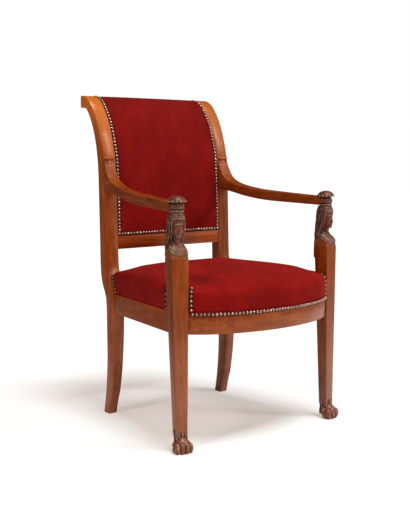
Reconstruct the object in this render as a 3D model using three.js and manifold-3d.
// Armchair with a rolled back: a mahogany frame, carved busts over the front legs,
// carved paw feet, and a stuffed seat and back covered in velvet.
// Millimetres. +Z is up, the seat looks along -Y, X = 0 is the middle plane and Z = 0 the floor.
// Left is the -X side, as someone standing in front of the chair sees it.

import * as THREE from 'three';
import { mergeVertices } from 'three/addons/utils/BufferGeometryUtils.js';
import Module from 'manifold-3d';

const wasm = await Module();
wasm.setup();

// Overall sizes. Depths count backwards from the front face of the rear posts at the rails.
const overallHeight = 933; // floor to the top of the rolled back
const railTop = 361; // floor to the top edge of the seat rails
const backRake = 170; // post's front face at the rails to the end of the roll, level
const backOpening = 374; // between the two stiles
const seatDepth = 365.5; // post's front face to the middle of a front leg
const legSpread = 522; // between the middles of the front legs
const armHeight = 642; // floor to the top of an arm at its front end
const armRise = 103; // how far an arm climbs from there to the stile
const bustDrop = 142; // top of the arm's front end down to the foot of the bust
const backRailHeight = 487; // floor to the lower edge of the back's lower rail
const legTurn = THREE.MathUtils.degToRad(11); // front legs turn outwards by this much

// Gap left between touching pieces, and how far a cutter runs past what it cuts
const gap = 0.3;
const overrun = 40;

// Rear posts, each a stile and a sabre leg sawn from one plank
const stileWidth = 40;
const stileThickness = 33;
const postRailWidth = 33; // the post across, at the rails
const postRailSetback = 3; // its outer face there, inside the stile's
const kneeHeight = 430; // floor to where the stile starts to narrow towards the leg
const rearFootWidth = 25;
const rearFootSetback = 5; // outer face of the foot, inside the stile's
const legSweep = 66; // post's front face to the back of the foot, level
const rollDrop = 35; // height of the end of the roll
const rollCorner = 5;
const ledgeWidth = 15; // rebated strip inside a stile, for tacks

// Front legs, tapering to the paw
const shoulderWidth = 48;
const shoulderDepth = 42;
const ankleWidth = 31;
const ankleDepth = 26.5;
const ankleHeight = 58;
const frontFaceForward = 20; // front face of the ankle, in front of the leg's middle
const frontFaceLean = 3; // how far the front face leans back up to the shoulder
const legLean = 3; // how far the middle of the shoulder is outside that of the ankle

// Busts
const bustFallHeight = 35; // hair hanging behind, below the foot of the bust

// Paw feet, in front of the leg's middle
const pawWidth = 51;
const pawHeelDepth = 3; // back of the paw, behind the leg's middle
const pawReach = 43; // front of the toes, in front of it
const pawHeight = 41; // floor to the top of the knuckles

// Seat rails
const railHeight = 56;
const railThickness = 26;
const railSetback = 8; // side rail's outer face, inside the leg's
const frontBowSideReach = 9; // end of the ellipse that the front rail follows, outside the leg's middle
const frontBowReach = 140; // its half axis towards the front
const frontBowSetback = 42.5; // its middle, behind the leg's
const frontBowEnd = THREE.MathUtils.degToRad(24); // where the rail leaves it, inside a leg
const backSeatRailDepth = 4; // post's front face to the rail's

// Joints
const tenonThickness = 8;
const tenonHeight = 34;
const tenonLength = 14;
const armTenonHeight = 34;
const armTenonDrop = 55; // top of the arm at the stile down to the middle of its tenon
const armTenonThickness = 12;
const backTenonHeight = 22;
const topTenonDrop = 24; // top of the roll down to the middle of its tenon
const topTenonSetback = 32; // and the tenon's middle behind the end of the roll
const dowelRadius = 4.5;
const dowelLength = 40;
const dowelWall = 3; // wood between the cap's two dowels

// Arms and their carved caps
const armWidth = 36;
const armStileHeight = 91; // arm where it meets the stile, top to underside
const armTipHeight = 24; // arm at its front end, top to underside
const armEdgeWidth = 1.5;
const capDrumRadius = 17.5;
const capDrumHeight = 25;
const capBead = 1.6; // radius of the bead round the foot of the drum
const capRadius = 23.5;
const capHeight = 17;
const capRim = 5; // thickness of its edge
const capTip = 3; // how far its front point runs past the rim
const capLean = 2; // its middle outside the middle of the ankle
const capSetback = 4; // and behind it
const armEndSetback = 8; // arm's end, behind the middle of the cap
const filletHeight = 6;
const filletDepth = 4;
const filletLift = 2; // top of the arm to the fillet above it

// Upholstery of the back, in layers behind the stile's front face
const backCoverThickness = 3;
const backStuffingThickness = 4.7;
const backHessianThickness = 1;
const backStrapThickness = 1.25;
const outsideThickness = 2;
const outsideInset = 0.7; // outer back cover, inside the stile's rear face
const backCrown = 9; // how far the stuffing pushes the cover forward
const backCoverBottom = 525; // floor to the lower edge of the back cover
const backRailTop = 540; // floor to the top of the lower rail's rebated part
const outsideBottom = 501; // floor to the lower edge of the outer cover
const layersBelowTop = 38; // top of the roll down to the layers' upper ends
const rollWoodBelowTop = 28; // top of the roll down to the front of the rail inside it
const topRailDrop = 65; // top of the roll down to the top rail's lower edge
const topRailHeel = 48; // top of the roll down to the back of the rail's rolled part

// Upholstery of the seat
const seatWall = 68; // rail top up to where the cushion's rounded edge ends
const seatRoll = 32; // width of that edge
const seatCrown = 29; // from there up to the middle
const seatCoverThickness = 9; // velvet and wadding at the sides
const seatTopThickness = 12; // and on top
const seatOverhang = 1.8; // velvet in front of the front rail's face
const seatApron = 9; // velvet down over the front rail
const seatMiddleDepth = 180; // post's front face to the middle of the crown
const seatCrownPower = 3; // higher keeps the crown full for longer towards the edge
const seatHessianThickness = 1.2;
const seatStrapThickness = 1.5;
const seatLegRoom = 8; // wadding between the stuffing and a leg or a post

// Webbing
const strapWidth = 50;
const strapPitch = 82;
const crossStrapPitch = 100;
const backStrapPitch = 82; // the back's crossing straps, before they are spaced out evenly
const strapEndInset = 12; // end of a strap, inside the rail's outer face
const strapMargin = 2; // how far a strap stays level past the one it crosses

// Corner blocks, glued inside the seat frame
const blockLeg = 52;
const blockHeight = 36;
const blockDrop = 12; // rail top to block top
const blockBite = 5; // how far the uncut block reaches into what it is fitted to

// Fineness of the curves
const outlineSteps = 3;
const sheetSteps = 24;
const rollSteps = 8;
const cornerSteps = 4;
const bowSteps = 22;
const sideSteps = 7;
const roundSides = 12;

// Worked out from the sizes above
const stileInner = backOpening / 2;
const stileOuter = stileInner + stileWidth;
const postOuter = stileOuter - postRailSetback;
const postInner = postOuter - postRailWidth;
const footOuter = stileOuter - rearFootSetback;
const railBottom = railTop - railHeight;
const railMiddle = railTop - railHeight / 2;
const backHeight = overallHeight - railTop;
const legX = legSpread / 2;
const shoulderHeight = armHeight - bustDrop;
const ellipseX = legX + frontBowSideReach;
const ellipseY = frontBowSetback - seatDepth;
const backStuffingDepth = backCoverThickness + gap;
const backHessianDepth = backStuffingDepth + backStuffingThickness + gap;
const backStrapDepth = backHessianDepth + backHessianThickness + gap;
const ledgeDepth = backStrapDepth + 2 * backStrapThickness + gap + gap;
const outsideRoom = outsideInset + outsideThickness + gap;
const layersTop = overallHeight - layersBelowTop;
const bustBottom = shoulderHeight + gap;
const bustTop = armHeight - capDrumHeight - gap;
const seatBase = railTop + gap;

// Materials
function material(color, roughness, metalness = 0) {
  return new THREE.MeshStandardMaterial({ color, roughness, metalness });
}
const mahogany = () => material('#8f3f16', 0.38);
const carvedWood = () => material('#4a2a1d', 0.45);
const innerWood = () => material('#a8743f', 0.7);
const velvet = () => material('#7c1013', 0.9);
const jute = () => material('#b39a68', 0.9);
const hessian = () => material('#9c8457', 0.95);
const horsehair = () => material('#3d2c20', 0.95);

// Joining and cutting closed geometries
function toSolid(geometry) {
  const bare = geometry.clone();
  bare.deleteAttribute('normal');
  bare.deleteAttribute('uv');
  const merged = mergeVertices(bare);
  const mesh = new wasm.Mesh({
    numProp: 3,
    vertProperties: new Float32Array(merged.attributes.position.array),
    triVerts: new Uint32Array(merged.index.array),
  });
  return new wasm.Manifold(mesh);
}

function toGeometry(solid) {
  const mesh = solid.getMesh();
  const geometry = new THREE.BufferGeometry();
  geometry.setAttribute('position', new THREE.BufferAttribute(mesh.vertProperties, 3));
  geometry.setIndex(new THREE.BufferAttribute(mesh.triVerts, 1));
  return geometry;
}

function combine(method, first, others) {
  return toGeometry(others.reduce((solid, other) => solid[method](toSolid(other)), toSolid(first)));
}
const join = (first, ...others) => combine('add', first, others);
const cut = (first, ...others) => combine('subtract', first, others);
const common = (first, ...others) => combine('intersect', first, others);

function moved(geometry, x, y, z) {
  return geometry.clone().translate(x, y, z);
}

function turned(geometry, matrix) {
  return geometry.clone().applyMatrix4(matrix);
}

// Turns every triangle round, which a mirrored geometry needs
function flipped(geometry) {
  const index = geometry.index.array;
  for (let corner = 0; corner < index.length; corner += 3) {
    [index[corner + 1], index[corner + 2]] = [index[corner + 2], index[corner + 1]];
  }
  return geometry;
}

function mirrored(geometry) {
  const copy = geometry.index ? geometry.clone() : mergeVertices(geometry.clone());
  return flipped(copy.scale(-1, 1, 1));
}

function volumeOf(geometry) {
  const corners = [new THREE.Vector3(), new THREE.Vector3(), new THREE.Vector3()];
  const { index } = geometry;
  const { position } = geometry.attributes;
  let sum = 0;
  for (let first = 0; first < index.count; first += 3) {
    corners.forEach((corner, k) => corner.fromBufferAttribute(position, index.getX(first + k)));
    sum += corners[0].dot(corners[1].cross(corners[2]));
  }
  return sum / 6;
}

function closedGeometry(points, triangles) {
  const geometry = new THREE.BufferGeometry().setFromPoints(points);
  geometry.setIndex(triangles);
  return volumeOf(geometry) < 0 ? flipped(geometry) : geometry;
}

// A box between two corners, and one made larger by the same amount on every side
function box([x0, y0, z0], [x1, y1, z1]) {
  const geometry = new THREE.BoxGeometry(x1 - x0, y1 - y0, z1 - z0);
  return geometry.translate((x0 + x1) / 2, (y0 + y1) / 2, (z0 + z1) / 2);
}

function grownBox(low, high, grow) {
  return box(low.map((value) => value - grow), high.map((value) => value + grow));
}

// Outlines drawn out: one of (depth, height) along X, of (x, height) along Y, of (x, depth) along Z
function drawnOut(outline, length) {
  return new THREE.ExtrudeGeometry(outline, {
    depth: length, bevelEnabled: false, curveSegments: outlineSteps,
  });
}

function alongX(outline, from, to) {
  const basis = new THREE.Matrix4().makeBasis(
    new THREE.Vector3(0, 1, 0), new THREE.Vector3(0, 0, 1), new THREE.Vector3(1, 0, 0));
  return drawnOut(outline, to - from).applyMatrix4(basis).translate(from, 0, 0);
}

function alongY(outline, from, to) {
  return drawnOut(outline, to - from).rotateX(Math.PI / 2).translate(0, to, 0);
}

function alongZ(outline, from, to) {
  return drawnOut(outline, to - from).translate(0, 0, from);
}

// A closed body between two grids of points: place(row, column) gives an outer and an inner point
function closedSheet(rows, columns, place) {
  const points = [];
  const [outer, inner] = [0, 1].map((side) => rows.map((row) => columns.map((column) => {
    points.push(place(row, column)[side]);
    return points.length - 1;
  })));
  const triangles = [];
  const quad = (a, b, c, d) => triangles.push(a, b, c, a, c, d);
  const lastRow = rows.length - 1;
  const lastColumn = columns.length - 1;
  for (let r = 1; r <= lastRow; r += 1) {
    for (let c = 1; c <= lastColumn; c += 1) {
      quad(outer[r - 1][c - 1], outer[r - 1][c], outer[r][c], outer[r][c - 1]);
      quad(inner[r - 1][c - 1], inner[r][c - 1], inner[r][c], inner[r - 1][c]);
    }
    quad(outer[r - 1][0], outer[r][0], inner[r][0], inner[r - 1][0]);
    quad(outer[r][lastColumn], outer[r - 1][lastColumn], inner[r - 1][lastColumn], inner[r][lastColumn]);
  }
  for (let c = 1; c <= lastColumn; c += 1) {
    quad(outer[0][c], outer[0][c - 1], inner[0][c - 1], inner[0][c]);
    quad(outer[lastRow][c - 1], outer[lastRow][c], inner[lastRow][c], inner[lastRow][c - 1]);
  }
  return closedGeometry(points, triangles);
}

// A closed body from rings of points, each ring round the last, with a middle point at each end
function closedRings(rings) {
  const middleOf = (ring) => ring.reduce(
    (sum, point) => sum.addScaledVector(point, 1 / ring.length), new THREE.Vector3());
  const points = [...rings.flat(), middleOf(rings[0]), middleOf(rings[rings.length - 1])];
  const count = rings[0].length;
  const triangles = [];
  for (let c = 0; c < count; c += 1) {
    const next = (c + 1) % count;
    for (let r = 1; r < rings.length; r += 1) {
      const [a, b] = [(r - 1) * count + c, (r - 1) * count + next];
      triangles.push(a, b, b + count, a, b + count, a + count);
    }
    const last = (rings.length - 1) * count;
    triangles.push(points.length - 2, next, c, points.length - 1, last + c, last + next);
  }
  return closedGeometry(points, triangles);
}

function evenly(from, to, steps) {
  return Array.from({ length: steps + 1 }, (_, k) => THREE.MathUtils.lerp(from, to, k / steps));
}

// The chair, and a frame for each front leg
const chair = new THREE.Group();
const rightLeg = new THREE.Group();
const leftLeg = new THREE.Group();
rightLeg.position.set(legX, -seatDepth, 0);
leftLeg.position.set(-legX, -seatDepth, 0);
rightLeg.rotation.z = legTurn;
leftLeg.rotation.z = -legTurn;
chair.add(rightLeg, leftLeg);
rightLeg.updateMatrix();
const legMatrix = rightLeg.matrix;

function addPiece(name, geometry, finish, parent = chair) {
  geometry.computeVertexNormals();
  const mesh = new THREE.Mesh(geometry, finish);
  mesh.name = name;
  parent.add(mesh);
}

// A piece on the right side and its mirror image on the left
function addPair(name, geometry, finish) {
  addPiece(`${name}_right`, geometry, finish());
  addPiece(`${name}_left`, mirrored(geometry), finish());
}

function addLegPair(name, geometry, finish) {
  addPiece(`${name}_right`, geometry, finish(), rightLeg);
  addPiece(`${name}_left`, mirrored(geometry), finish(), leftLeg);
}

// Side view of the stile: level reach, height and thickness, as shares of the rake,
// of the back's height above the rails and of the stile's thickness
const stileShares = [
  [0, 0, 1.3],
  [0.053, 0.042, 1.38],
  [0.135, 0.086, 1.31],
  [0.191, 0.138, 1.11],
  [0.212, 0.278, 1.04],
  [0.224, 0.418, 1.04],
  [0.247, 0.593, 0.99],
  [0.276, 0.685, 0.97],
  [0.35, 0.773, 0.89],
  [0.456, 0.857, 0.85],
  [0.588, 0.925, 0.81],
  [0.718, 0.97, 0.83],
  [0.847, 0.994, 1.01],
  [0.93, 1, 1.06],
];

// The normal of a curve, on its left side
function normalOf(curve, share) {
  const tangent = curve.getTangent(share);
  return new THREE.Vector2(-tangent.y, tangent.x);
}

const facePoints = stileShares.map(([reach, rise]) => (
  new THREE.Vector2(reach * backRake, railTop + rise * backHeight)));
const faceCurve = new THREE.SplineCurve(facePoints);
const rearPoints = stileShares.map(([, , thickness], k) => {
  const normal = normalOf(faceCurve, k / (stileShares.length - 1));
  return facePoints[k].clone().addScaledVector(normal, -thickness * stileThickness);
}).reverse();
rearPoints[0].set(backRake - rollCorner, overallHeight - rollDrop);
const rearCurve = new THREE.SplineCurve(rearPoints);

// The share of a curve at which it reaches a height
function shareAtHeight(curve, height) {
  const rising = curve.getPoint(1).y > curve.getPoint(0).y;
  let [low, high] = [0, 1];
  for (let turn = 0; turn < 40; turn += 1) {
    const middle = (low + high) / 2;
    if (curve.getPoint(middle).y < height === rising) {
      low = middle;
    } else {
      high = middle;
    }
  }
  return low;
}

// Places along a curve, each with the curve's outward normal there
function stationAt(curve, share) {
  return { at: curve.getPoint(share), out: normalOf(curve, share) };
}

function stationsBetween(curve, fromHeight, toHeight, steps) {
  return evenly(shareAtHeight(curve, fromHeight), shareAtHeight(curve, toHeight), steps)
    .map((share) => stationAt(curve, share));
}

function faceStation(height) {
  return stationAt(faceCurve, shareAtHeight(faceCurve, height));
}

function inwards(station, depth) {
  return station.at.clone().addScaledVector(station.out, -depth);
}

// Over the corner of the roll and down its end
const cornerMiddle = new THREE.Vector2(backRake - rollCorner, overallHeight - rollCorner);
const rollEnd = evenly(Math.PI / 2, 0, cornerSteps).map((angle) => {
  const out = new THREE.Vector2(Math.cos(angle), Math.sin(angle));
  return { at: cornerMiddle.clone().addScaledVector(out, rollCorner), out };
});
rollEnd.push({
  at: new THREE.Vector2(backRake, overallHeight - rollDrop + rollCorner),
  out: new THREE.Vector2(1, 0),
});

// Sabre leg, as shares of its sweep and of the rails' height
const legFrontShares = [[0.575, 0], [0.43, 0.11], [0.25, 0.22], [0.09, 0.42], [0.01, 0.65], [0, 0.875]];
const legRearShares = [[0.645, 0.955], [0.65, 0.86], [0.655, 0.6], [0.665, 0.45], [0.73, 0.3], [0.84, 0.15],
  [1, 0]];
const legPoints = (shares) => shares.map(([reach, rise]) => (
  new THREE.Vector2(reach * legSweep, rise * railTop)));

function postSideView() {
  const outline = new THREE.Shape();
  const [foot, ...front] = legPoints(legFrontShares);
  const [knee, ...rear] = legPoints(legRearShares);
  const rollBottom = overallHeight - rollDrop;
  outline.moveTo(foot.x, foot.y);
  outline.splineThru(front);
  outline.lineTo(facePoints[0].x, facePoints[0].y);
  outline.splineThru(facePoints.slice(1));
  outline.lineTo(cornerMiddle.x, overallHeight);
  outline.absarc(cornerMiddle.x, cornerMiddle.y, rollCorner, Math.PI / 2, 0, true);
  outline.lineTo(backRake, rollBottom + rollCorner);
  outline.quadraticCurveTo(backRake, rollBottom, rearPoints[0].x, rollBottom);
  outline.splineThru(rearPoints.slice(1, -1));
  outline.lineTo(knee.x, knee.y);
  outline.splineThru(rear);
  outline.closePath();
  return outline;
}

function postFrontView() {
  const outline = new THREE.Shape();
  const top = overallHeight + overrun;
  outline.moveTo(footOuter - rearFootWidth, 0);
  outline.lineTo(postInner, railBottom);
  outline.quadraticCurveTo(stileInner, railTop, stileInner, kneeHeight);
  outline.lineTo(stileInner, top);
  outline.lineTo(stileOuter, top);
  outline.lineTo(stileOuter, kneeHeight);
  outline.quadraticCurveTo(stileOuter, railTop, postOuter, railBottom);
  outline.lineTo(footOuter, 0);
  outline.closePath();
  return outline;
}

// Side view of what fills the back between its two faces, at a depth behind each
function bandSideView(faceDepth, rearDepth, bottom, top, steps) {
  const front = stationsBetween(faceCurve, bottom, top, steps).map((spot) => inwards(spot, faceDepth));
  const rear = stationsBetween(rearCurve, top, bottom, steps).map((spot) => inwards(spot, rearDepth));
  return new THREE.Shape([...front, ...rear]);
}

const postBlank = common(
  alongX(postSideView(), stileInner - overrun, stileOuter + overrun),
  alongY(postFrontView(), -overrun, backRake + overrun));

// Front leg, in its own frame: X across, -Y forwards, Z up from the floor
function shaftSection(z, grow) {
  const share = (z - ankleHeight) / (shoulderHeight - ankleHeight);
  const middle = legLean * share;
  const half = THREE.MathUtils.lerp(ankleWidth, shoulderWidth, share) / 2;
  const front = -frontFaceForward + frontFaceLean * share;
  const depth = THREE.MathUtils.lerp(ankleDepth, shoulderDepth, share);
  return {
    z,
    inner: middle - half - grow,
    outer: middle + half + grow,
    front: front - grow,
    rear: front + depth + grow,
  };
}

function shaft(grow) {
  const rows = [shaftSection(ankleHeight, grow), shaftSection(shoulderHeight, grow)];
  return closedSheet(rows, ['inner', 'outer'], (row, side) => [
    new THREE.Vector3(row[side], row.front, row.z),
    new THREE.Vector3(row[side], row.rear, row.z),
  ]);
}
const bustRoom = (grow) => box(
  [legLean - shoulderWidth / 2 - grow, shoulder.front - grow, shoulderHeight - bustFallHeight - grow],
  [legLean + shoulderWidth / 2 + grow, shoulder.rear + shoulderDepth / 4 + grow, armHeight]);
const legRoom = (grow) => turned(join(shaft(grow), bustRoom(grow)), legMatrix);
const leftLegRoom = (grow) => mirrored(legRoom(grow));
const railSection = shaftSection(railMiddle, 0);
const shoulder = shaftSection(shoulderHeight, 0);

// Side rail: its outer face runs from the post's to inside the leg's
const railEnd = new THREE.Vector3(railSection.outer - railSetback, railSection.rear, 0)
  .applyMatrix4(legMatrix);
const railSlope = (railEnd.x - postOuter) / -railEnd.y;
const railOutAt = (depth) => postOuter - depth * railSlope;
const railSpan = Math.hypot(1, railSlope); // a rail's level width for each mm of its thickness
const railInAt = (depth) => railOutAt(depth) - railThickness * railSpan;

// Tenons at the rails' height. Those into a front leg are boxes in the leg's frame.
function railTenon([x0, y0], [x1, y1], grow) {
  const low = [x0, y0, railMiddle - tenonHeight / 2];
  return grownBox(low, [x1, y1, railMiddle + tenonHeight / 2], grow);
}
const sideLegTenonX = railSection.outer - railSetback - railThickness / 2;
const sideLegTenon = (grow) => railTenon(
  [sideLegTenonX - tenonThickness / 2, railSection.rear - tenonLength],
  [sideLegTenonX + tenonThickness / 2, railSection.rear + tenonLength], grow);
const frontTenonY = railSection.front + railThickness / 2;
const frontLegTenon = (grow) => railTenon(
  [railSection.inner - tenonLength, frontTenonY - tenonThickness / 2],
  [railSection.inner + tenonLength, frontTenonY + tenonThickness / 2], grow);
const sidePostTenonX = postOuter - railThickness / 2;
const sidePostTenon = (grow) => railTenon(
  [sidePostTenonX - tenonThickness / 2, -tenonLength],
  [sidePostTenonX + tenonThickness / 2, tenonLength], grow);
const backPostTenonY = backSeatRailDepth + railThickness / 2;
const backPostTenon = (grow) => railTenon(
  [postInner - tenonLength, backPostTenonY - tenonThickness / 2],
  [postInner + tenonLength, backPostTenonY + tenonThickness / 2], grow);

// Tenons of the back's two rails into the stile: upright in the lower one, level in the roll
function stileTenon(middle, depth, height, grow) {
  return grownBox(
    [stileInner - tenonLength, middle.x - depth / 2, middle.y - height / 2],
    [stileInner + tenonLength, middle.x + depth / 2, middle.y + height / 2], grow);
}
const lowerTenonMiddle = inwards(
  faceStation((backRailHeight + backCoverBottom) / 2), ledgeDepth + tenonThickness / 2);
const lowerTenon = (grow) => stileTenon(lowerTenonMiddle, tenonThickness, backTenonHeight, grow);
const topTenonMiddle = new THREE.Vector2(
  backRake - topTenonSetback, overallHeight - topTenonDrop);
const topTenon = (grow) => stileTenon(topTenonMiddle, backTenonHeight, tenonThickness, grow);

function sideRail() {
  const plan = new THREE.Shape([
    new THREE.Vector2(railOutAt(overrun), overrun),
    new THREE.Vector2(railInAt(overrun), overrun),
    new THREE.Vector2(railInAt(-seatDepth), -seatDepth),
    new THREE.Vector2(railOutAt(-seatDepth), -seatDepth),
  ]);
  const behindPost = box([0, -gap, 0], [legX, overrun + overrun, overallHeight]);
  const body = cut(
    alongZ(plan, railBottom, railTop), legRoom(gap), behindPost, moved(postBlank, 0, -gap, 0));
  return join(body, turned(sideLegTenon(0), legMatrix), sidePostTenon(0));
}

// Front rail, bowed in plan along half an ellipse
function ellipseAt(angle, inset) {
  return new THREE.Vector2(
    (ellipseX - inset) * Math.cos(angle), ellipseY - (frontBowReach - inset) * Math.sin(angle));
}

function bowCurve(inset) {
  return evenly(frontBowEnd, Math.PI - frontBowEnd, bowSteps).map((angle) => ellipseAt(angle, inset));
}

function frontRail() {
  const front = bowCurve(0);
  const rear = front.map((point) => new THREE.Vector2(point.x, point.y + railThickness)).reverse();
  const body = cut(
    alongZ(new THREE.Shape([...front, ...rear]), railBottom, railTop), legRoom(gap), leftLegRoom(gap));
  const tenon = turned(frontLegTenon(0), legMatrix);
  return join(body, tenon, mirrored(tenon));
}

function backSeatRail() {
  const rearDepth = backSeatRailDepth + railThickness;
  const body = box([-postOuter, backSeatRailDepth, railBottom], [postOuter, rearDepth, railTop]);
  const postRoom = join(moved(postBlank, -gap, 0, 0), moved(postBlank, stileWidth / 2, 0, 0));
  const tenon = backPostTenon(0);
  return join(cut(body, postRoom, mirrored(postRoom)), tenon, mirrored(tenon));
}

// Rails of the back: the lower one shows under the cover, the top one fills the roll
const backReach = stileInner - gap;
function lowerBackRail() {
  const shown = bandSideView(
    outsideInset, outsideInset, backRailHeight, backCoverBottom - gap, cornerSteps);
  const rebated = bandSideView(ledgeDepth, outsideRoom, outsideBottom, backRailTop, cornerSteps);
  const rearSpots = stationsBetween(rearCurve, backRailTop, outsideBottom - gap, cornerSteps);
  const coverRoom = new THREE.Shape([
    ...rearSpots.map((spot) => inwards(spot, outsideRoom)),
    ...rearSpots.map((spot) => inwards(spot, -overrun)).reverse(),
  ]);
  const lower = cut(alongX(shown, -backReach, backReach), alongX(coverRoom, -stileOuter, stileOuter));
  const tenon = lowerTenon(0);
  return join(lower, alongX(rebated, -backReach, backReach), tenon, mirrored(tenon));
}

const rollWoodDepth = backCoverThickness + gap;
const rollFront = overallHeight - rollWoodBelowTop;
const rollFace = [...stationsBetween(faceCurve, rollFront, overallHeight, rollSteps), ...rollEnd];
const rollHeel = shareAtHeight(rearCurve, overallHeight - topRailHeel);
const rollUnder = evenly(0, rollHeel, rollSteps).map((share) => stationAt(rearCurve, share));
function topBackRail() {
  const flat = bandSideView(
    ledgeDepth, outsideRoom, overallHeight - topRailDrop, layersTop + gap, rollSteps);
  const under = rollUnder.map((spot) => inwards(spot, outsideRoom));
  const roll = new THREE.Shape([
    ...rollFace.map((spot) => inwards(spot, rollWoodDepth)),
    ...under.filter((point) => point.x < backRake - rollWoodDepth),
  ]);
  const tenon = topTenon(0);
  return join(
    alongX(flat, -backReach, backReach), alongX(roll, -backReach, backReach), tenon, mirrored(tenon));
}

// Arm: a top, an underside and an outer edge, each a curve over the length from the cap back
// to the stile. The shares are of that length, and of the rise or the spread that each follows.
const armTopAtStile = armHeight + armRise;
const armStileReach = faceStation(armTopAtStile).at.x;
const capMiddle = new THREE.Vector3(capLean, capSetback, 0).applyMatrix4(legMatrix);
const armFrontReach = -capMiddle.y;
const armLength = armFrontReach + armStileReach;
const armUnderTip = armHeight - armTipHeight;
const armUnderRise = armTopAtStile - armStileHeight - armUnderTip;
const armOutTip = capMiddle.x + armWidth / 2;
const armTopShares = [
  [1.02, 1.3], [1, 1], [0.975, 0.76], [0.945, 0.58], [0.905, 0.43], [0.81, 0.28], [0.64, 0.165],
  [0.42, 0.095], [0.2, 0.04], [0, 0],
];
const armUnderShares = [[1.02, 1.01], [0.965, 0.99], [0.84, 0.79], [0.71, 0.5], [0.5, 0.22], [0.22, 0.08],
  [0, 0]];
const armOutShares = [[1.02, 0], [0.9, 0.05], [0.73, 0.18], [0.54, 0.34], [0.41, 0.49], [0.25, 0.71],
  [0, 1]];
function armCurve(shares, start, spread) {
  return new THREE.SplineCurve(shares.map(([along, value]) => (
    new THREE.Vector2(along * armLength - armFrontReach, start + value * spread))));
}
const armTopCurve = armCurve(armTopShares, armHeight, armRise);
const armUnderCurve = armCurve(armUnderShares, armUnderTip, armUnderRise);
const armOutCurve = armCurve(armOutShares, stileOuter, armOutTip - stileOuter);

// The value of one of the arm's curves at a depth
const armCurveSteps = 80;
function valueAt(curve, depth) {
  const points = curve.getPoints(armCurveSteps);
  const found = points.findIndex((point) => point.x <= depth);
  const next = found < 1 ? Math.max(1, found < 0 ? points.length - 1 : 1) : found;
  const [before, after] = [points[next - 1], points[next]];
  return THREE.MathUtils.mapLinear(depth, before.x, after.x, before.y, after.y);
}

// Corners of the arm's section: across, up, and the way that each is cut back
const armCorners = [[0, 0, 1, 0], [0, 0, 0, 1], [0, 1, 0, -1], [0, 1, 1, 0], [1, 1, -1, 0], [1, 1, 0, -1],
  [1, 0, 0, 1], [1, 0, -1, 0]];
function armBlank() {
  const spots = evenly(0, 1, sheetSteps + sideSteps).map((share) => armTopCurve.getPointAt(share));
  return closedRings(spots.map((spot) => {
    const out = valueAt(armOutCurve, spot.x);
    const under = valueAt(armUnderCurve, spot.x);
    return armCorners.map(([across, up, cutX, cutZ]) => new THREE.Vector3(
      out - armWidth * (1 - across) + cutX * armEdgeWidth,
      spot.x,
      THREE.MathUtils.lerp(under, spot.y, up) + cutZ * armEdgeWidth));
  }));
}

const armTenonMiddle = armTopAtStile - armTenonDrop;
const armTenonX = stileOuter - armWidth / 2;
const armTenonReach = faceStation(armTenonMiddle).at.x;
const armTenon = (grow) => grownBox(
  [armTenonX - armTenonThickness / 2, armTenonReach - tenonLength / 4, armTenonMiddle - armTenonHeight / 2],
  [armTenonX + armTenonThickness / 2, armTenonReach + tenonLength, armTenonMiddle + armTenonHeight / 2],
  grow);

// Dowels of the front legs, in the leg's frame
function dowel(middle, grow, upright) {
  const geometry = new THREE.CylinderGeometry(
    dowelRadius + grow, dowelRadius + grow, dowelLength + grow + grow, roundSides);
  return (upright ? geometry.rotateX(Math.PI / 2) : geometry).translate(...middle);
}
const footDowel = (grow) => dowel([0, ankleDepth / 2 - frontFaceForward, ankleHeight], grow, true);
const bustDowel = (grow) => dowel(
  [legLean, (shoulder.front + shoulder.rear) / 2, bustBottom], grow, true);
const capDowel = (grow) => dowel([capLean, capSetback, bustTop], grow, true);
const armDowelHeight = armHeight - capDrumHeight / 2;
const armDowelMiddle = capSetback + dowelRadius + dowelWall + dowelLength / 2;
const armDowel = (grow) => dowel([capLean, armDowelMiddle, armDowelHeight], grow, false);

function capDrum(radius, bottom, top) {
  return new THREE.CylinderGeometry(radius, radius, top - bottom, roundSides * 2)
    .rotateX(Math.PI / 2).translate(capLean, capSetback, (bottom + top) / 2);
}

function arm() {
  const ahead = box(
    [-overrun, -overrun, 0], [overrun, capSetback + armEndSetback, overallHeight]);
  const capRoom = join(
    ahead, capDrum(capDrumRadius + gap, 0, overallHeight),
    capDrum(capRadius + gap, armHeight, overallHeight), armDowel(gap));
  const postRoom = join(
    moved(postBlank, 0, -gap, 0), moved(postBlank, gap, -gap, 0),
    moved(postBlank, 0, stileThickness / 2, 0));
  const behind = box([0, armStileReach + overrun / 2, 0], [legSpread, backRake + overrun, overallHeight]);
  const body = cut(armBlank(), turned(capRoom, legMatrix), postRoom, behind);
  return join(body, armTenon(0));
}

// Carved cap: a drum with a bead round its foot, under a low dome drawn out to a point in front
function armCap() {
  const bottom = armHeight - capDrumHeight;
  const top = armHeight + capHeight;
  const underRim = armHeight + gap;
  const profile = new THREE.Path();
  profile.moveTo(0, bottom);
  profile.lineTo(capDrumRadius - capBead, bottom);
  profile.absarc(capDrumRadius - capBead, bottom + capBead, capBead, -Math.PI / 2, Math.PI / 2, false);
  profile.lineTo(capDrumRadius - capBead, underRim);
  profile.lineTo(capRadius, underRim);
  profile.lineTo(capRadius, underRim + capRim);
  profile.quadraticCurveTo(capDrumRadius, top, 0, top);
  const body = new THREE.LatheGeometry(profile.getPoints(cornerSteps), roundSides * 2)
    .rotateX(Math.PI / 2);
  const front = new THREE.Shape();
  front.moveTo(-capRadius / 2, -capRadius / 2);
  front.lineTo(capRadius / 2, -capRadius / 2);
  front.lineTo(0, -capRadius - capTip);
  front.closePath();
  const tip = alongZ(front, underRim + gap, underRim + capRim - gap);
  return cut(moved(join(body, tip), capLean, capSetback, 0), capDowel(gap), armDowel(gap));
}

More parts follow.
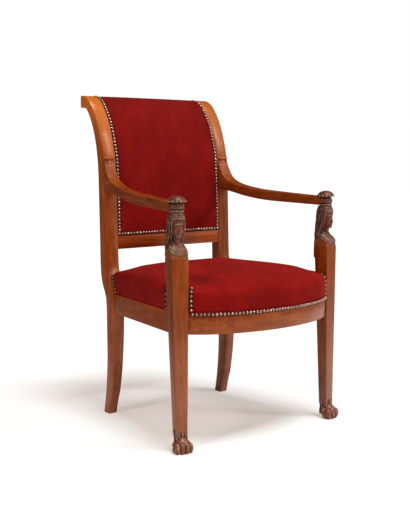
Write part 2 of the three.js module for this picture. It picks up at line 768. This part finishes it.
// Small moulding across the stile, over the end of the arm
function armFillet() {
  const bottom = armTopAtStile + filletLift;
  const spots = stationsBetween(faceCurve, bottom, bottom + filletHeight, cornerSteps);
  const view = new THREE.Shape([
    ...spots.map((spot) => inwards(spot, -gap)),
    ...spots.map((spot, k) => (
      inwards(spot, -gap - filletDepth * Math.sin((Math.PI * (k + 1)) / (cornerSteps + 2))))).reverse(),
  ]);
  return cut(alongX(view, stileOuter - armWidth, stileOuter), moved(armBlank(), 0, 0, gap));
}

// Bust: shoulders and neck, hair falling behind, face, headband and a collar, in the leg's frame.
// Rings of the body and of the hair: height as a share of the bust's, half width as a share of
// the shoulder's, reach of the front and of the back forwards of the shoulder's back as shares
// of its depth, and the power of the outline, 2 for an ellipse and more for a squarer one.
const bustHeight = bustTop - bustBottom;
const bodyShares = [
  [0, 1, 1, 0, 12], [0.12, 1, 1, 0, 12], [0.2, 0.95, 0.93, 0, 6], [0.29, 0.8, 0.74, 0.03, 3],
  [0.37, 0.6, 0.64, 0.06, 2.2], [0.45, 0.48, 0.6, 0.1, 2], [0.58, 0.45, 0.6, 0.1, 2]];
const hairShares = [
  [0.02, 0.88, 0.45, -0.1, 5], [0.28, 0.93, 0.42, -0.11, 4], [0.45, 0.9, 0.5, -0.1, 3.4],
  [0.6, 0.88, 0.72, -0.1, 3], [0.72, 0.88, 0.88, -0.1, 2.8], [0.86, 0.87, 0.92, -0.07, 2.6],
  [0.95, 0.82, 0.88, -0.03, 2.6], [1.02, 0.76, 0.84, 0.02, 2.5]];
const fallShare = -bustFallHeight / bustHeight;
const fallShares = [
  [fallShare, 0.8, 0.1, -0.09, 6], [0.83 * fallShare, 0.86, 0.1, -0.12, 6], [0.1, 0.88, 0.1, -0.11, 6]];
function bustForm(shares) {
  const angles = evenly(0, 2 * Math.PI, roundSides + cornerSteps).slice(0, -1);
  const rounded = (value, power) => Math.sign(value) * Math.abs(value) ** (2 / power);
  return closedRings(shares.map(([rise, half, front, back, power]) => {
    const reach = (front - back) / 2;
    return angles.map((angle) => new THREE.Vector3(
      legLean + (half * rounded(Math.cos(angle), power) * shoulderWidth) / 2,
      shoulder.rear - ((front + back) / 2 + reach * rounded(Math.sin(angle), power)) * shoulderDepth,
      bustBottom + rise * bustHeight));
  }));
}

// Height above the foot of the bust and reach behind the leg's middle of the middles of the
// rounded forms, and their sizes, in millimetres
const faceForm = { height: 74, behind: -1, half: [14.5, 17.5, 22] };
const browBand = { height: 101, behind: 3, radius: 17, bead: 3, tilt: 0.1 };
const collarForm = { height: 30, behind: 5, radius: 16, bead: 3.6, tilt: 0.6 };
function bust() {
  const face = new THREE.SphereGeometry(1, roundSides, sideSteps + 1).rotateX(Math.PI / 2)
    .scale(...faceForm.half).translate(legLean, faceForm.behind, bustBottom + faceForm.height);
  const [band, collar] = [browBand, collarForm].map(({ height, behind, radius, bead, tilt }) => (
    new THREE.TorusGeometry(radius, bead, sideSteps - 1, roundSides + cornerSteps)
      .rotateX(tilt).translate(legLean, behind, bustBottom + height)));
  const above = box([-legSpread, -seatDepth, bustTop], [legSpread, seatDepth, overallHeight]);
  const shaftRoom = join(moved(shaft(0), 0, 0, gap), moved(shaft(0), 0, gap, gap));
  return cut(
    join(bustForm(bodyShares), bustForm(hairShares), bustForm(fallShares), face, band, collar),
    above, shaftRoom, bustDowel(gap), capDowel(gap));
}

// Paw: an ankle, the ball of the foot and four toes, cut flat on the floor, in the leg's frame.
// Places and half sizes as shares of the paw's width, length and height.
const toeShares = [[-0.36, 0.7, 0.33], [-0.13, 0.79, 0.33], [0.13, 0.79, 0.33], [0.36, 0.7, 0.33]];
const ballShares = [0.44, 0.46, 0.62];
const toeSizeShares = [0.15, 0.21, 0.36];
function paw() {
  const length = pawHeelDepth + pawReach;
  const atLength = (share) => pawHeelDepth - share * length;
  const rounded = ([wide, long, high], x, along, height) => new THREE.SphereGeometry(
    1, roundSides, sideSteps + 1).rotateX(Math.PI / 2)
    .scale(wide * pawWidth, long * length, high * pawHeight)
    .translate(x * pawWidth, atLength(along), height * pawHeight);
  const ankle = shaftSection(ankleHeight, 0);
  const post = box(
    [ankle.inner, ankle.front, pawHeight / 4], [ankle.outer, ankle.rear, ankleHeight - gap]);
  const ball = rounded(ballShares, 0, 0.47, 0.38);
  const toes = toeShares.map(([x, along, height]) => rounded(toeSizeShares, x, along, height));
  const sole = box([-pawWidth, -legSpread, -pawHeight], [pawWidth, legSpread, 0]);
  return cut(join(post, ball, ...toes), sole, footDowel(gap));
}

// Covers, stuffing and hessian of the back: closed sheets that follow the stile's front face
function backSheet(stations, halfWidth, columns, outerDepth, innerDepth) {
  return closedSheet(stations, evenly(-halfWidth, halfWidth, columns), (spot, x) => [
    inwards(spot, outerDepth(spot, x / halfWidth)),
    inwards(spot, innerDepth),
  ].map((point) => new THREE.Vector3(x, point.x, point.y)));
}

const crownFade = 70; // distance over which the back's crown rises from its ends
function backCover() {
  const stations = [
    ...stationsBetween(faceCurve, backCoverBottom, rollFront, sheetSteps).slice(0, -1), ...rollFace];
  const outer = (spot, across) => {
    const low = (spot.at.y - backCoverBottom) / crownFade;
    const high = (backRake - spot.at.x) / crownFade;
    const fade = THREE.MathUtils.smoothstep(Math.min(low, high), 0, 1);
    return -backCrown * (1 - across ** 4) * fade;
  };
  return backSheet(stations, backReach, sheetSteps / 2, outer, backCoverThickness);
}

const layerStations = stationsBetween(faceCurve, backRailTop, layersTop, sheetSteps);
function backStuffing() {
  const inner = backStuffingDepth + backStuffingThickness;
  return backSheet(layerStations, backReach - gap, 2, () => backStuffingDepth, inner);
}

function backHessian() {
  const inner = backHessianDepth + backHessianThickness;
  return backSheet(layerStations, backReach - gap, 2, () => backHessianDepth, inner);
}

function outsideCover() {
  const bottom = shareAtHeight(rearCurve, outsideBottom);
  const start = {
    at: new THREE.Vector2(backRake - rollWoodDepth, overallHeight - rollDrop),
    out: new THREE.Vector2(0, -1),
  };
  const flat = evenly(rollHeel, bottom, sheetSteps).slice(1);
  const stations = [start, ...rollUnder, ...flat.map((share) => stationAt(rearCurve, share))];
  return backSheet(stations, backReach, 2, () => outsideInset, outsideInset + outsideThickness);
}

// Webbing: straps woven over and under each other, down on the frame at their ends.
// Each spot has a place along the strap and a level, -1 next to the frame and 1 away from it.
function wovenSpots(from, to, crossings, first) {
  const half = strapWidth / 2 + strapMargin;
  const spots = [{ place: from, level: -1 }];
  crossings.forEach((place, k) => {
    const level = (first + k) % 2 === 0 ? 1 : -1;
    const way = Math.sign(to - from);
    spots.push({ place: place - way * half, level }, { place: place + way * half, level });
  });
  spots.push({ place: to, level: -1 });
  return spots;
}

// More spots between those, at the places given, at the levels in between
function withSpotsAt(spots, places) {
  const between = places.flatMap((place) => {
    const next = spots.findIndex((spot) => spot.place > place);
    if (next < 1) {
      return [];
    }
    const [before, after] = [spots[next - 1], spots[next]];
    const level = THREE.MathUtils.mapLinear(
      place, before.place, after.place, before.level, after.level);
    return [{ place, level }];
  });
  return [...spots, ...between].sort((a, b) => a.place - b.place);
}

const crossingRoom = overallHeight - topRailDrop - backRailTop;
const backCrossings = evenly(
  backRailTop, backRailTop + crossingRoom, Math.round(crossingRoom / backStrapPitch)).slice(1, -1);
const backUprights = evenly(-stileInner, stileInner, 3).slice(1, -1);
const backStrapLevel = (backStrapThickness + gap) / 2;
const backStrapMiddle = backStrapDepth + backStrapThickness + gap / 2;
function backStrap(rows, columns) {
  return closedSheet(rows, columns, (row, column) => {
    const level = row.level ?? column.level;
    const depth = backStrapMiddle - level * backStrapLevel;
    return [-1, 1].map((side) => {
      const point = inwards(row.spot, depth + (side * backStrapThickness) / 2);
      return new THREE.Vector3(column.place, point.x, point.y);
    });
  });
}

const strapSides = (middle) => [
  { place: middle - strapWidth / 2 }, { place: middle + strapWidth / 2 }];
function backUpright(x, first) {
  const woven = wovenSpots(backCoverBottom + strapMargin, layersTop, backCrossings, first);
  const rows = withSpotsAt(woven, layerStations.map((spot) => spot.at.y))
    .map(({ place, level }) => ({ spot: faceStation(place), level }));
  return backStrap(rows, strapSides(x));
}

function backCrossing(height, first) {
  const rows = evenly(height - strapWidth / 2, height + strapWidth / 2, cornerSteps)
    .map((place) => ({ spot: faceStation(place) }));
  const reach = backReach - gap;
  return backStrap(rows, wovenSpots(-reach, reach, backUprights, first));
}

const seatStrapLevel = (seatStrapThickness + gap) / 2;
const seatStrapMiddle = seatBase + seatStrapThickness + gap / 2;
const seatHessianBase = seatBase + 2 * seatStrapThickness + gap + gap;
const stuffingBase = seatHessianBase + seatHessianThickness + gap;
const seatStrapsX = [-1.5, -0.5, 0.5, 1.5].map((k) => k * strapPitch);
const seatCrossDepths = [-1, 0, 1].map((k) => k * crossStrapPitch - seatMiddleDepth);

function seatStrap(rows, columns) {
  return closedSheet(rows, columns, (row, column) => {
    const z = seatStrapMiddle + (row.level ?? column.level) * seatStrapLevel;
    return [1, -1].map((side) => new THREE.Vector3(
      column.place, row.place, z + (side * seatStrapThickness) / 2));
  });
}

function seatLengthStrap(x, first) {
  const back = backSeatRailDepth + railThickness - strapEndInset;
  const side = Math.abs(x) + strapWidth / 2;
  const front = ellipseAt(Math.acos(side / (ellipseX - strapEndInset)), strapEndInset).y;
  return seatStrap(wovenSpots(front, back, seatCrossDepths, first), strapSides(x));
}

function seatCrossStrap(depth, first) {
  const reach = railOutAt(depth + strapWidth / 2) - strapEndInset * railSpan;
  return seatStrap(strapSides(depth), wovenSpots(-reach, reach, seatStrapsX, first));
}

// Plan of the seat, drawn in by an inset from the rails' outer faces, going round from the back
function seatPlan(inset, frontInset = inset) {
  const rearDepth = backSeatRailDepth + railThickness - inset;
  const frontDepth = railEnd.y;
  const sideAt = (depth) => railOutAt(depth) - inset * railSpan;
  const right = evenly(rearDepth, frontDepth, sideSteps)
    .map((depth) => new THREE.Vector2(sideAt(depth), depth));
  const left = right.map((point) => new THREE.Vector2(-point.x, point.y)).reverse();
  const back = evenly(-sideAt(rearDepth), sideAt(rearDepth), sideSteps).slice(1, -1)
    .map((x) => new THREE.Vector2(x, rearDepth));
  return [...right, ...bowCurve(frontInset), ...left, ...back];
}

// Cushion with a rounded edge and a crown: rings drawn in from the outline, then towards the
// middle. Shares of the edge's width and of the wall's height, then of the reach from the middle.
const seatEdgeShares = [
  [0.04, 0], [0, 0.3], [0.05, 0.7], [0.16, 0.835], [0.42, 0.92], [1, 1]];
const seatReachShares = [0.8, 0.55, 0.28];
function cushion(inset, frontInset, drop) {
  const wall = seatWall - drop;
  const ringAt = (plan, rise) => plan.map((point) => (
    new THREE.Vector3(point.x, point.y, seatBase + rise)));
  const edge = seatEdgeShares.map(([into, up]) => (
    ringAt(seatPlan(inset + into * seatRoll, frontInset + into * seatRoll), up * wall)));
  const middle = new THREE.Vector2(0, -seatMiddleDepth);
  const last = seatPlan(inset + seatRoll, frontInset + seatRoll);
  const crownAt = (reach) => wall + seatCrown * (1 - reach ** seatCrownPower);
  const top = seatReachShares.map((reach) => (
    ringAt(last.map((point) => middle.clone().lerp(point, reach)), crownAt(reach))));
  return closedRings([...edge, ...top]);
}

function seatRoom(grow) {
  const post = box(
    [stileInner - grow, -grow, 0], [stileOuter + overrun, backRake, overallHeight]);
  return [legRoom(grow), leftLegRoom(grow), post, mirrored(post)];
}

function seatForm(grow) {
  const inset = seatCoverThickness + grow;
  return cut(cushion(inset, inset, seatTopThickness + grow), ...seatRoom(seatLegRoom + grow));
}

function seatCover() {
  const postRoom = join(moved(postBlank, 0, -gap, 0), moved(postBlank, -gap, 0, 0),
    moved(postBlank, -gap, -gap, 0), moved(postBlank, stileWidth / 2, -gap, 0));
  const apronPlan = new THREE.Shape([...bowCurve(-seatOverhang), ...bowCurve(-gap).reverse()]);
  const apron = alongZ(apronPlan, railTop - seatApron, seatBase + seatApron);
  const underApron = box(
    [-legSpread, -overallHeight, 0], [legSpread, overallHeight, railTop - seatApron]);
  const outer = join(cushion(gap, -seatOverhang, 0), apron);
  return cut(
    outer, underApron, seatForm(0), legRoom(gap), leftLegRoom(gap), postRoom, mirrored(postRoom));
}

function seatStuffing() {
  const below = box([-legSpread, -overallHeight, 0], [legSpread, overallHeight, stuffingBase]);
  return cut(seatForm(gap), below);
}

function seatHessian() {
  const sheet = alongZ(
    new THREE.Shape(seatPlan(strapEndInset)), seatHessianBase, seatHessianBase + seatHessianThickness);
  return cut(sheet, ...seatRoom(seatLegRoom + gap));
}

// Corner blocks: three-sided, fitted to the rails, the post and the leg
const blockTop = railTop - blockDrop;
function rearBlock() {
  const sideX = railInAt(backSeatRailDepth) + blockBite;
  const backY = backSeatRailDepth + blockBite;
  const plan = new THREE.Shape([
    new THREE.Vector2(sideX, backY),
    new THREE.Vector2(sideX - blockLeg, backY),
    new THREE.Vector2(railInAt(backSeatRailDepth - blockLeg) + blockBite, backSeatRailDepth - blockLeg),
  ]);
  return cut(
    alongZ(plan, blockTop - blockHeight, blockTop), moved(sideRail(), -gap, gap, 0),
    moved(backSeatRail(), 0, -gap, 0), moved(postBlank, -gap, -gap, 0), moved(postBlank, 0, -gap, 0),
    moved(postBlank, -gap, 0, 0));
}

const blockBowAngle = THREE.MathUtils.degToRad(35); // where the front block ends along the bow
function frontBlock() {
  const legDepth = railEnd.y;
  const bowEnd = ellipseAt(blockBowAngle, railThickness - blockBite);
  const bowStart = ellipseAt(blockBowAngle / 3, railThickness - blockBite);
  const plan = new THREE.Shape([
    new THREE.Vector2(railInAt(legDepth) + blockBite, legDepth - blockBite),
    new THREE.Vector2(railInAt(legDepth + blockLeg) + blockBite, legDepth + blockLeg),
    bowEnd,
    bowStart,
  ]);
  return cut(
    alongZ(plan, blockTop - blockHeight, blockTop), moved(sideRail(), -gap, 0, 0),
    moved(frontRail(), 0, gap, 0), moved(frontRail(), -gap, 0, 0), legRoom(gap + gap));
}

// Finished post, with its tacking ledge and its mortises
function rearPost() {
  const ledgeTop = overallHeight - topRailDrop - gap;
  const ledgeView = bandSideView(
    ledgeDepth, outsideRoom, backRailTop + gap, ledgeTop, sheetSteps / 2);
  const ledge = alongX(ledgeView, stileInner - ledgeWidth, stileInner + gap);
  return cut(
    join(postBlank, ledge), sidePostTenon(gap), backPostTenon(gap), armTenon(gap),
    lowerTenon(gap), topTenon(gap));
}

function frontLeg() {
  return cut(shaft(0), sideLegTenon(gap), frontLegTenon(gap), footDowel(gap), bustDowel(gap));
}

// The frame
addPair('rear_post', rearPost(), mahogany);
addLegPair('front_leg', frontLeg(), mahogany);
addLegPair('paw_foot', paw(), carvedWood);
addLegPair('leg_bust', bust(), carvedWood);
addPair('arm', arm(), mahogany);
addLegPair('arm_cap', armCap(), carvedWood);
addPair('arm_fillet', armFillet(), mahogany);
addPiece('front_seat_rail', frontRail(), mahogany());
addPair('side_seat_rail', sideRail(), mahogany);
addPiece('back_seat_rail', backSeatRail(), mahogany());
addPiece('lower_back_rail', lowerBackRail(), mahogany());
addPiece('top_back_rail', topBackRail(), innerWood());
addPair('rear_corner_block', rearBlock(), innerWood);
addPair('front_corner_block', frontBlock(), innerWood);
addLegPair('foot_dowel', footDowel(0), innerWood);
addLegPair('bust_dowel', bustDowel(0), innerWood);
addLegPair('cap_dowel', capDowel(0), innerWood);
addLegPair('arm_dowel', armDowel(0), innerWood);

// The seat
seatStrapsX.forEach((x, k) => addPiece(`seat_strap_long_${k + 1}`, seatLengthStrap(x, k), jute()));
seatCrossDepths.forEach((depth, k) => (
  addPiece(`seat_strap_cross_${k + 1}`, seatCrossStrap(depth, k + 1), jute())));
addPiece('seat_hessian', seatHessian(), hessian());
addPiece('seat_stuffing', seatStuffing(), horsehair());
addPiece('seat_cover', seatCover(), velvet());

// The back
backUprights.forEach((x, k) => addPiece(`back_strap_upright_${k + 1}`, backUpright(x, k), jute()));
backCrossings.forEach((height, k) => (
  addPiece(`back_strap_cross_${k + 1}`, backCrossing(height, k + 1), jute())));
addPiece('back_hessian', backHessian(), hessian());
addPiece('back_stuffing', backStuffing(), horsehair());
addPiece('back_cover', backCover(), velvet());
addPiece('back_outer_cover', outsideCover(), velvet());

// The origin is on the floor, under the middle of the chair's box
const bounds = new THREE.Box3().setFromObject(chair);
chair.position.y = -(bounds.min.y + bounds.max.y) / 2;

export default chair;
